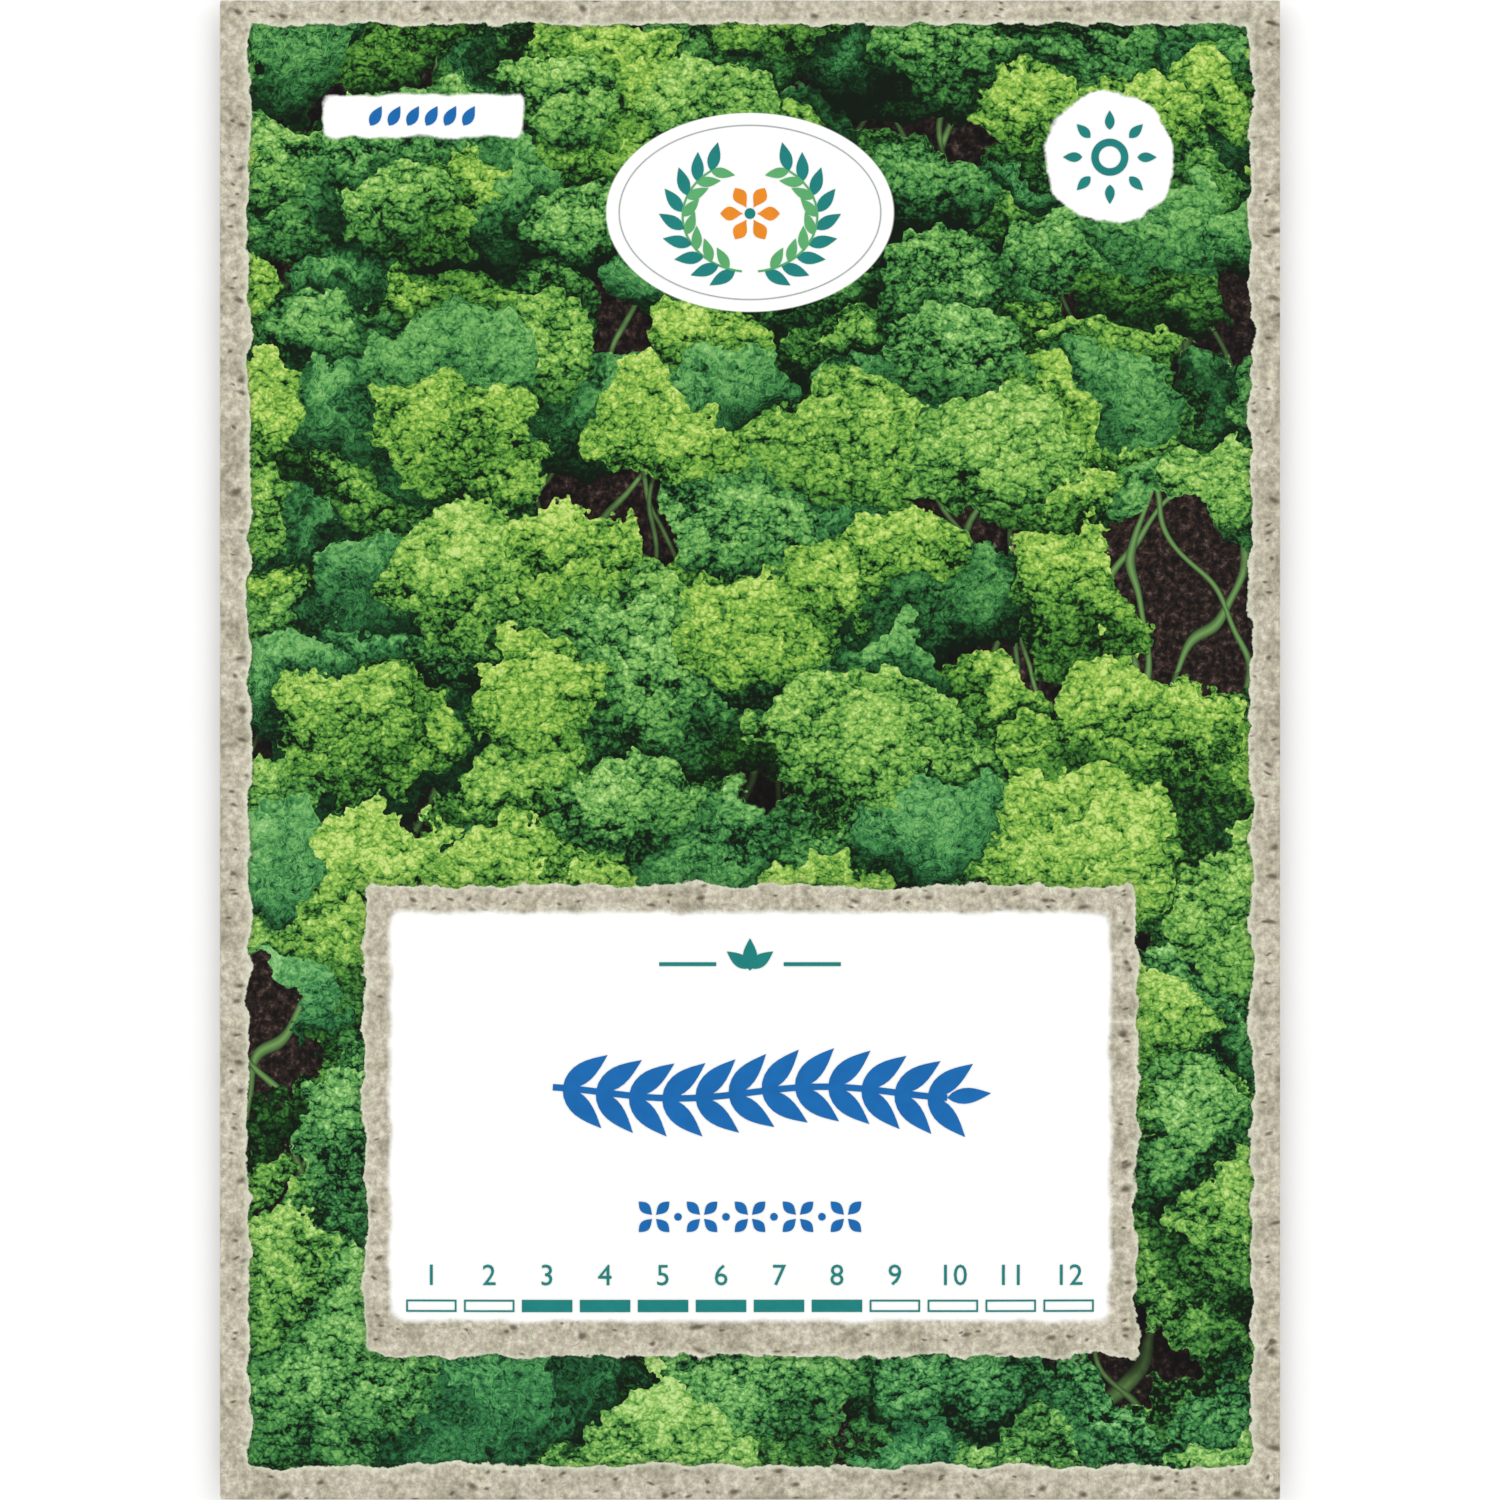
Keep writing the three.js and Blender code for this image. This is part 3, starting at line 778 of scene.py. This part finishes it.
def band(points, thickness, closed=False):
    """A flat strip of even thickness that follows points, as short faces."""
    count = len(points)
    sides = []
    for i, (x, y) in enumerate(points):
        ahead = points[(i + 1) % count] if closed else points[min(i + 1, count - 1)]
        behind = points[i - 1] if closed or i else points[0]
        run = Vector((ahead[0] - behind[0], ahead[1] - behind[1])).normalized() * thickness / 2
        sides += [(x - run.y, y + run.x, 0), (x + run.y, y - run.x, 0)]
    last = count if closed else count - 1
    faces = [(i, i + 1, (i + 3) % len(sides), (i + 2) % len(sides)) for i in range(0, 2 * last, 2)]
    mesh = bpy.data.meshes.new("band")
    mesh.from_pydata(sides, [], faces)
    return mesh


def arc(middle, half, start=0.0, end=math.tau, count=48):
    """Points of an oval's arc, from one angle to the other."""
    return [(middle[0] + half[0] * math.cos(a), middle[1] + half[1] * math.sin(a))
            for a in steps(start, end, count)]


def oval(middle, half, count, start=0.0):
    """Points once round an oval."""
    return arc(middle, half, start, start + math.tau, count)[:-1]


def rule(start, end, thickness):
    """A straight printed line, in faces short enough to lie on the bulging paper."""
    count = max(1, math.ceil(math.dist(start, end) / 3))
    return band(list(zip(steps(start[0], end[0], count), steps(start[1], end[1], count))), thickness)


def corners(x, y):
    """The corners of a box of half size x by y, round the origin."""
    return [(-x, -y), (x, -y), (x, y), (-x, y)]


def frame_of(width, height, line):
    """The outline of a box, round the origin."""
    x, y = width / 2, height / 2
    mesh = bpy.data.meshes.new("frame")
    mesh.from_pydata([(*corner, 0) for corner in corners(x, y) + corners(x - line, y - line)], [],
                     [(0, 1, 5, 4), (1, 2, 6, 5), (2, 3, 7, 6), (3, 0, 4, 7)])
    return mesh


def stamped(tree, points, shape, count, turn=0.0, size=1.0, both=False, closed=False):
    """Copies of a flat shape along points, made by the stamp tree."""
    curve = bpy.data.curves.new("run", "CURVE")
    spline = curve.splines.new("POLY")
    spline.points.add(len(points) - 1)
    for point, (x, y) in zip(spline.points, points):
        point.co = (x, y, 0, 1)
    spline.use_cyclic_u = closed
    return grown(curve, tree, "shape", shape, count=count, turn=turn, size=size, both_sides=both)


def numeral(number, x, y, height):
    """A plain number as a flat mesh, centred on a point."""
    text = bpy.data.curves.new("numeral", "FONT")
    text.body = str(number)
    text.size = height
    text.resolution_u = 3
    text.align_x, text.align_y = "CENTER", "CENTER"
    return shifted(evaluated(text), x, y)


def shifted(mesh, x, y, turn=0.0, size=1.0):
    mesh.transform(Matrix.Translation((x, y, 0)) @ Matrix.Rotation(turn, 4, "Z") @ Matrix.Scale(size, 4))
    return mesh


def inked(name, meshes, material, height, facing, thickness):
    """One layer of ink from flat meshes in millimetres, laid on the paper at height(x, y)."""
    LONGEST = 1.0  # longer edges, in millimetres, would cut through the paper's ripples
    # overlapping shapes lie on one another, in a few levels
    LIFT, STEP, LEVELS = 0.6 * thickness, 0.06 * thickness, 5
    layer = bmesh.new()
    for place, mesh in enumerate(meshes):
        mesh.transform(Matrix.Translation((0, 0, LIFT + STEP * (place % LEVELS))))
        layer.from_mesh(mesh)
        bpy.data.meshes.remove(mesh)
    for halving in range(4):
        bmesh.ops.triangulate(layer, faces=layer.faces)
        long = [edge for edge in layer.edges if edge.calc_length() > LONGEST]
        bmesh.ops.subdivide_edges(layer, edges=long, cuts=1)
    bmesh.ops.triangulate(layer, faces=layer.faces)
    for vertex in layer.verts:
        vertex.co.x *= MM * facing
        vertex.co.y *= MM
        vertex.co.z = height(vertex.co.x, vertex.co.y) + vertex.co.z * facing
    bmesh.ops.recalc_face_normals(layer, faces=layer.faces)
    for face in layer.faces:
        face.material_index = 0
        if face.normal.z * facing < 0:
            face.normal_flip()
    mesh = bpy.data.meshes.new(name)
    layer.to_mesh(mesh)
    layer.free()
    mesh.materials.append(material)
    solid = evaluated(mesh, "SOLIDIFY", thickness=thickness, offset=0)
    handed_over(placed(name, solid), "printed_paper")


def print_inks(context, side, ink_name, height, facing, layers):
    """Prints each colour's shapes as one layer of ink on a side of the packet."""
    inks = context.scene.packet_inks
    for colour, meshes in layers.items():
        ink = printing_ink(ink_name.format(colour), getattr(inks, colour))
        inked(f"{side}_{colour}_ink", meshes, ink, height, facing, inks.thickness)


def calendar(tree, y, numerals_y, months, cell):
    """A row of twelve month cells, some filled, and the numbers 1 to 12 if they are given a height."""
    MONTHS, FIRST_X, PITCH = 12, -24.6, 49.2 / 11
    places = [(FIRST_X + month * PITCH, y) for month in range(MONTHS)]
    marks = [stamped(tree, [places[0], places[-1]], frame_of(*cell, 0.14), MONTHS)]
    if numerals_y is not None:
        marks += [numeral(month + 1, x, numerals_y, 2.3) for month, (x, y) in enumerate(places)]
    full = outline(corners(cell[0] / 2, cell[1] / 2))
    full.transform(Matrix.Scale(0.98, 4))
    run = [places[months[0] - 1], places[months[-1] - 1]]
    return marks + [stamped(tree, run, full, len(months))]


def sun(tree, x, y, size):
    """A round sun with eight rays."""
    rays = stamped(tree, oval((x, y), (1.85 * size, 1.85 * size), 32), leaf(0.5), 8,
                   -math.pi / 2, 1.3 * size, closed=True)
    return [band(oval((x, y), (size, size), 32), 0.5 * size, closed=True), rays]


# Sizes and colours that a user would change


def length_setting(name, description, default):
    return bpy.props.FloatProperty(name=name, description=description, default=default, unit="LENGTH")


def colour_setting(name, description, hex_colour):
    return bpy.props.FloatVectorProperty(
        name=name, description=description, default=linear(hex_colour), subtype="COLOR")


class PacketSizes(bpy.types.PropertyGroup):
    width: length_setting("Width", "Across the front, fold to fold", CAD_BOX[1][0] - CAD_BOX[0][0])
    height: length_setting("Height", "From the bottom to the top fold", CAD_BOX[1][1] - CAD_BOX[0][1])
    paper: length_setting("Paper", "Thickness of the paper", 0.15 * MM)
    front_bulge: length_setting("Front bulge", "How far the seeds lift the front", 2.3 * MM)
    back_bulge: length_setting("Back bulge", "How far the back would sag without a table", 1.5 * MM)


class PacketInks(bpy.types.PropertyGroup):
    thickness: length_setting("Ink thickness", "Thickness of a printed ornament's layer", 0.05 * MM)
    teal: colour_setting("Teal", "Teal ink", TEAL_INK)
    blue: colour_setting("Blue", "Blue ink", BLUE_INK)
    green: colour_setting("Green", "Green ink", GREEN_INK)
    orange: colour_setting("Orange", "Orange ink", ORANGE_INK)
    grey: colour_setting("Grey", "Grey ink", GREY_INK)


class PacketSeeds(bpy.types.PropertyGroup):
    length: length_setting("Seed length", "From end to end of one seed", 2.7 * MM)
    spacing: length_setting("Seed spacing", "Least distance between two seeds' middles", 1.7 * MM)
    random: bpy.props.IntProperty(name="Seed random", description="Another heap", default=11)


class PacketStage(bpy.types.PropertyGroup):
    floor: colour_setting("Floor", "The floor's colour", "#ffffff")
    side_light: bpy.props.FloatProperty(
        name="Side light", description="Power of each soft light", default=3.35, unit="POWER")
    sky: bpy.props.FloatProperty(name="Sky", description="Strength of the even light", default=0.5)
    lens: bpy.props.FloatProperty(
        name="Lens", description="Focal length in millimetres", default=200.0, unit="CAMERA")


def form_of(context):
    return Form(context.scene.packet_sizes)


class PACKET_OT_paper(bpy.types.Operator):
    """Build the bag's paper: front, back, side strip and both end flaps"""
    bl_idname = "packet.paper"
    bl_label = "Paper"

    def execute(self, context):
        form = form_of(context)
        raw = raw_paper("raw_paper", RAW_PAPER)
        front = coated_paper("front_print_on_coated_paper", printed_front)
        back = coated_paper("back_print_on_coated_paper", printed_back, (form.back_middle_u, 0))
        plain = coated_paper("border_print_on_coated_paper", handmade_paper)
        ROUND = 6  # steps round half a fold
        left_apex, right_apex = form.left + form.left_turn / 2, form.right + form.right_turn / 2
        end_apex, end_flat = form.end + form.end_turn / 2, form.end + form.end_turn
        left_flat, right_flat = form.left + form.left_turn, form.right + form.right_turn
        across = stops(-left_apex, ROUND, -form.left, 100, form.right, ROUND, right_apex)
        up = stops(-end_apex, ROUND, -form.end, 140, form.end, ROUND, end_apex)
        behind = stops(form.back_edge_u, 96, -left_flat, ROUND, -left_apex)
        strip = stops(right_apex, ROUND, right_flat, 10, right_flat + form.SIDE_STRIP)
        top = stops(end_apex, ROUND, end_flat, 14, end_flat + form.TOP_FLAP)
        bottom = stops(-end_flat - form.BOTTOM_FLAP, 12, -end_flat, ROUND, -end_apex)
        rows = steps(-form.end, form.end, 132)
        columns = steps(-form.left, form.right, 72)
        for name, us, vs, printed in (
                ("bag_front", across, up, front), ("bag_back", behind, rows, back),
                ("bag_side_strip", strip, rows, plain), ("bag_top_flap", columns, top, plain),
                ("bag_bottom_flap", columns, bottom, plain)):
            piece = paper_sheet(name, form, us, vs, printed, raw)
            handed_over(piece, "printed_paper", "paper_bag")
        return {"FINISHED"}


class PACKET_OT_glue(bpy.types.Operator):
    """Give the three strips of glue their finish"""
    bl_idname = "packet.glue"
    bl_label = "Glue"

    def execute(self, context):
        finish = dried_glue(GLUE_AMBER)
        for name in ("side_glue", "bottom_glue", "top_glue"):
            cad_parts[name].material_slots[0].material = finish
        return {"FINISHED"}


class PACKET_OT_seeds(bpy.types.Operator):
    """Fill the bag with a heap of crescent seeds"""
    bl_idname = "packet.seeds"
    bl_label = "Seeds"

    MIDDLE, HALF = Vector((0, -7 * MM)), (27 * MM, 38 * MM)
    DEPTH, ROUNDNESS, GAP, HALF_SEED = 3.3 * MM, 0.7, 0.15 * MM, 0.68 * MM
    REACH, RINGS, SPOKES = 0.93, 8, 32

    def shells(self, form):
        """The seeds' middles lie on two domed faces: over the back and under the front."""
        mesh = bpy.data.meshes.new("shells")
        places, faces = [], []
        for upper in (False, True):
            first = len(places)
            for ring in range(self.RINGS + 1):
                for spoke in range(self.SPOKES):
                    share = self.REACH * ring / self.RINGS
                    angle = math.tau * spoke / self.SPOKES
                    x = self.MIDDLE.x + self.HALF[0] * share * math.cos(angle)
                    y = self.MIDDLE.y + self.HALF[1] * share * math.sin(angle)
                    low = form.back(x, y) + form.paper / 2 + self.GAP
                    dome = self.DEPTH * (1 - share ** 2) ** self.ROUNDNESS
                    heaped = low + max(2 * self.HALF_SEED, dome)
                    high = min(form.front(x, y) - form.paper / 2 - self.GAP, heaped)
                    places.append((x, y, high - self.HALF_SEED if upper else low + self.HALF_SEED))
            for ring in range(self.RINGS):
                for spoke in range(self.SPOKES):
                    a, b = first + ring * self.SPOKES, first + (ring + 1) * self.SPOKES
                    after = (spoke + 1) % self.SPOKES
                    faces.append((a + spoke, b + spoke, b + after, a + after))
        mesh.from_pydata(places, [], faces)
        return mesh

    def seed(self, length):
        """One seed along X: a crescent with five raised ribs, tapered to both ends."""
        SIDES, RINGS, BEND = 10, 5, 0.16
        mesh = bmesh.new()
        loops = []
        for ring in range(1, RINGS + 1):
            share = ring / (RINGS + 1)
            girth = 0.25 * length * math.sin(math.pi * share) ** 0.6
            loops.append([])
            for side in range(SIDES):
                rib = 1.0 if side % 2 == 0 else 0.82
                angle = math.tau * side / SIDES
                z = girth * rib * math.sin(angle) * 0.85
                y = girth * rib * math.cos(angle) + BEND * length * (math.sin(math.pi * share) - 0.6)
                loops[-1].append(mesh.verts.new((length * (share - 0.5), y, z)))
        tip_y = -0.6 * BEND * length
        for end, loop in ((-0.5, loops[0]), (0.5, loops[-1])):
            tip = mesh.verts.new((length * end, tip_y, 0))
            for side in range(SIDES):
                mesh.faces.new((tip, loop[side], loop[(side + 1) % SIDES]))
        for a, b in zip(loops, loops[1:]):
            for side in range(SIDES):
                after = (side + 1) % SIDES
                mesh.faces.new((a[side], b[side], b[after], a[after]))
        bmesh.ops.recalc_face_normals(mesh, faces=mesh.faces)
        seed = bpy.data.meshes.new("seed")
        mesh.to_mesh(seed)
        mesh.free()
        return seed

    def execute(self, context):
        settings = context.scene.packet_seeds
        form = form_of(context)
        heap = grown(self.shells(form), heap_tree(), "seed", self.seed(settings.length),
                     spacing=settings.spacing, random=settings.random, coat=seed_coat(SEED_BROWN))
        heap.name = "seed_heap"
        heap.shade_smooth()
        handed_over(placed("seed_heap", heap), "seed_coat", "seeds")
        return {"FINISHED"}


class PACKET_OT_front_ornaments(bpy.types.Operator):
    """Print the front's ornaments and its sowing calendar"""
    bl_idname = "packet.front_ornaments"
    bl_label = "Front ornaments"

    def emblem(self, tree):
        """A wreath of two leafy branches round a small flower, in a thin oval line."""
        (x, y), half = EMBLEM
        teal, green = [], []
        grey = [band(oval((x, y), (half[0] - 1.0, half[1] - 0.95), 96), 0.09, closed=True)]
        for side in (-1, 1):
            run = arc((x, y - 0.3), (side * 5.2, 4.3), -math.pi / 2 + 0.12, math.pi / 2 - 0.62, 24)
            green.append(band(run, 0.16))
            teal.append(stamped(tree, run[1:], leaf(0.42), 9, -0.75 * side, 2.3))
            green.append(stamped(tree, run[2:], leaf(0.42), 8, 0.75 * side, 1.9))
        ring = oval((x, y - 0.1), (0.55, 0.55), 20)
        orange = [stamped(tree, ring, leaf(0.62, 1.3), 6, -math.pi / 2, 1.75, closed=True)]
        teal.append(shifted(disc(0.42), x, y - 0.1))
        return {"teal": teal, "green": green, "orange": orange, "grey": grey, "blue": []}

    def execute(self, context):
        tree = stamp_tree()
        layers = self.emblem(tree)
        teal, blue = layers["teal"], layers["blue"]
        teal += sun(tree, *BADGE[0], 1.15)
        tag_x, tag_y = TAG[0]
        row = [(tag_x - 3.6, tag_y), (tag_x + 3.6, tag_y)]
        blue.append(stamped(tree, row, shifted(leaf(0.5), -0.5, 0), 6, 1.05, 1.75))
        # above, a short sprig between two rules
        sprig_y = -16.5
        for side in (-1, 1):
            teal.append(rule((side * 7.0, sprig_y), (side * 2.6, sprig_y), 0.3))
            teal.append(shifted(leaf(0.45), 0, sprig_y - 0.3, math.pi / 2 - side * 0.95, 2.2))
        teal.append(shifted(leaf(0.45), 0, sprig_y - 0.5, math.pi / 2, 2.5))
        # in the middle, a leafy branch
        branch_y, half_length = -26.4, 15.2
        run = [(x, branch_y + 0.45 * math.sin(x * 0.28)) for x in steps(-half_length, half_length, 40)]
        blue.append(band(run, 0.5))
        blue.append(stamped(tree, run[1:-2], leaf(0.36), 12, 0.72, 4.3, both=True))
        blue.append(shifted(leaf(0.36), *run[-1], 0.1, 3.4))
        # under it, a row of four-petalled flowers and dots
        row_y, pitch = -36.0, 3.7
        for step in range(-2, 3):
            ring = oval((step * pitch, row_y), (0.22, 0.22), 16, math.pi / 4)
            blue.append(stamped(tree, ring, leaf(0.55, 1.1), 4, -math.pi / 2, 1.45, closed=True))
            if step < 2:
                blue.append(shifted(disc(0.3), (step + 0.5) * pitch, row_y))
        teal += calendar(tree, -42.9, -40.6, range(3, 9), (3.9, 0.95))
        print_inks(context, "front", "{}_offset_ink", form_of(context).front_face, 1, layers)
        return {"FINISHED"}


class PACKET_OT_back_ornaments(bpy.types.Operator):
    """Print the back's pictures of light, water and depth, its calendar and its ruled lines"""
    bl_idname = "packet.back_ornaments"
    bl_label = "Back ornaments"

    def execute(self, context):
        tree = stamp_tree()
        teal, green, grey, blue = [], [], [], []
        picture_y = 25.5
        for x in (-19.5, 0, 19.5):
            teal.append(band(oval((x, picture_y), (7.2, 7.2), 64), 0.3, closed=True))
        teal += sun(tree, -19.5, picture_y, 1.9)
        for x, y, size in ((0, -3.2, 6.0), (-3.6, -3.4, 3.6), (3.6, -3.4, 3.6)):
            blue.append(shifted(leaf(0.62, 0.55, 19), x, picture_y + y, math.pi / 2, size))
        grey.append(rule((14.2, picture_y - 1.0), (24.8, picture_y - 1.0), 0.35))
        teal.append(shifted(leaf(0.5), 18.2, picture_y - 3.6, 0.0, 2.6))
        green.append(rule((19.5, picture_y - 1.0), (19.5, picture_y + 2.2), 0.4))
        for side in (-1, 1):
            green.append(shifted(leaf(0.5), 19.5, picture_y + 1.6, math.pi / 2 - side * 0.9, 3.3))
        teal += calendar(tree, 9.4, 12.2, range(3, 9), (4.0, 1.3))
        green += calendar(tree, 7.4, None, range(6, 12), (4.0, 1.3))
        ground_y = -4.0
        grey.append(rule((-24, ground_y), (24, ground_y), 0.4))
        rows = [(-18, ground_y + 0.2), (18, ground_y + 0.2)]
        for turn, size in ((0.8, 4.6), (math.pi - 0.8, 4.6), (math.pi / 2, 6.2)):
            green.append(stamped(tree, rows, leaf(0.36), 5, turn, size))
        for left in range(-18, 18, 9):
            grey.append(rule((left + 1.2, ground_y - 2.0), (left + 7.8, ground_y - 2.0), 0.2))
            for reach, turn in ((1.8, math.pi), (7.2, 0)):
                grey.append(shifted(leaf(0.7, 0.6), left + reach, ground_y - 2.0, turn, 1.4))
        grey += [rule((-24.5, y), (24.5, y), 0.16) for y in (-13.5, -18, -22.5, -27)]
        layers = {"teal": teal, "green": green, "grey": grey, "blue": blue}
        print_inks(context, "back", "{}_back_offset_ink", form_of(context).back_face, -1, layers)
        return {"FINISHED"}


class PACKET_OT_stage(bpy.types.Operator):
    """Lay the pale floor, hang the soft lights and look straight down on the packet"""
    bl_idname = "packet.stage"
    bl_label = "Stage"

    def execute(self, context):
        stage = context.scene.packet_stage
        HALF, UNDER = 3.0, -0.12 * MM  # the floor clears the ink on the packet's back
        mesh = bpy.data.meshes.new("floor")
        mesh.from_pydata([(*corner, UNDER) for corner in corners(HALF, HALF)], [], [(0, 1, 2, 3)])
        mesh.materials.append(floor_board(stage.floor))
        placed("floor", mesh)
        LIGHT_SIZE, LIGHT_REACH, LIGHT_HEIGHT = 0.9, 0.8, 0.75
        for name, x, y in (("left", -1, 0.25), ("right", 1, 0.25), ("head", 0, 1.1), ("foot", 0, -1.1)):
            light = bpy.data.lights.new(f"soft_{name}", "AREA")
            light.energy = stage.side_light
            light.shape = "SQUARE"
            light.size = LIGHT_SIZE
            lamp = placed(f"soft_{name}", light)
            lamp.location = (x * LIGHT_REACH, y * LIGHT_REACH, LIGHT_HEIGHT)
            lamp.rotation_euler = (-lamp.location).to_track_quat("-Z", "Y").to_euler()
        world = bpy.data.worlds.new("even_light")
        world.use_nodes = True
        fill(world.node_tree, world.node_tree.nodes["Background"],
             {"Color": (1, 1, 1, 1), "Strength": stage.sky})
        context.scene.world = world
        context.scene.view_settings.view_transform = "Standard"
        camera = placed("camera", bpy.data.cameras.new("camera"))
        camera.data.lens = stage.lens
        camera.data.clip_end = 10
        reach = context.scene.packet_sizes.height * stage.lens / camera.data.sensor_width
        camera.location = (0, 0, form_of(context).front_z + reach)
        context.scene.camera = camera
        return {"FINISHED"}


OPERATORS = (PACKET_OT_paper, PACKET_OT_glue, PACKET_OT_seeds, PACKET_OT_front_ornaments,
             PACKET_OT_back_ornaments, PACKET_OT_stage)


class PACKET_PT_panel(bpy.types.Panel):
    bl_label = "Seed packet"
    bl_space_type = "VIEW_3D"
    bl_region_type = "UI"
    bl_category = "Seed packet"

    def draw(self, context):
        for group in (context.scene.packet_sizes, context.scene.packet_inks,
                      context.scene.packet_seeds, context.scene.packet_stage):
            box = self.layout.box()
            for name in group.__annotations__:
                box.prop(group, name)
        for operator in OPERATORS:
            self.layout.operator(operator.bl_idname)


GROUPS = {"packet_sizes": PacketSizes, "packet_inks": PacketInks,
          "packet_seeds": PacketSeeds, "packet_stage": PacketStage}


def register():
    for kind in (*GROUPS.values(), *OPERATORS, PACKET_PT_panel):
        bpy.utils.register_class(kind)
    for name, group in GROUPS.items():
        setattr(bpy.types.Scene, name, bpy.props.PointerProperty(type=group))


def unregister():
    for name in GROUPS:
        delattr(bpy.types.Scene, name)
    for kind in (PACKET_PT_panel, *OPERATORS, *GROUPS.values()):
        bpy.utils.unregister_class(kind)


def main():
    register()
    for operator in (bpy.ops.packet.paper, bpy.ops.packet.glue, bpy.ops.packet.seeds,
                     bpy.ops.packet.front_ornaments, bpy.ops.packet.back_ornaments, bpy.ops.packet.stage):
        operator()


if __name__ == "__main__":
    main()
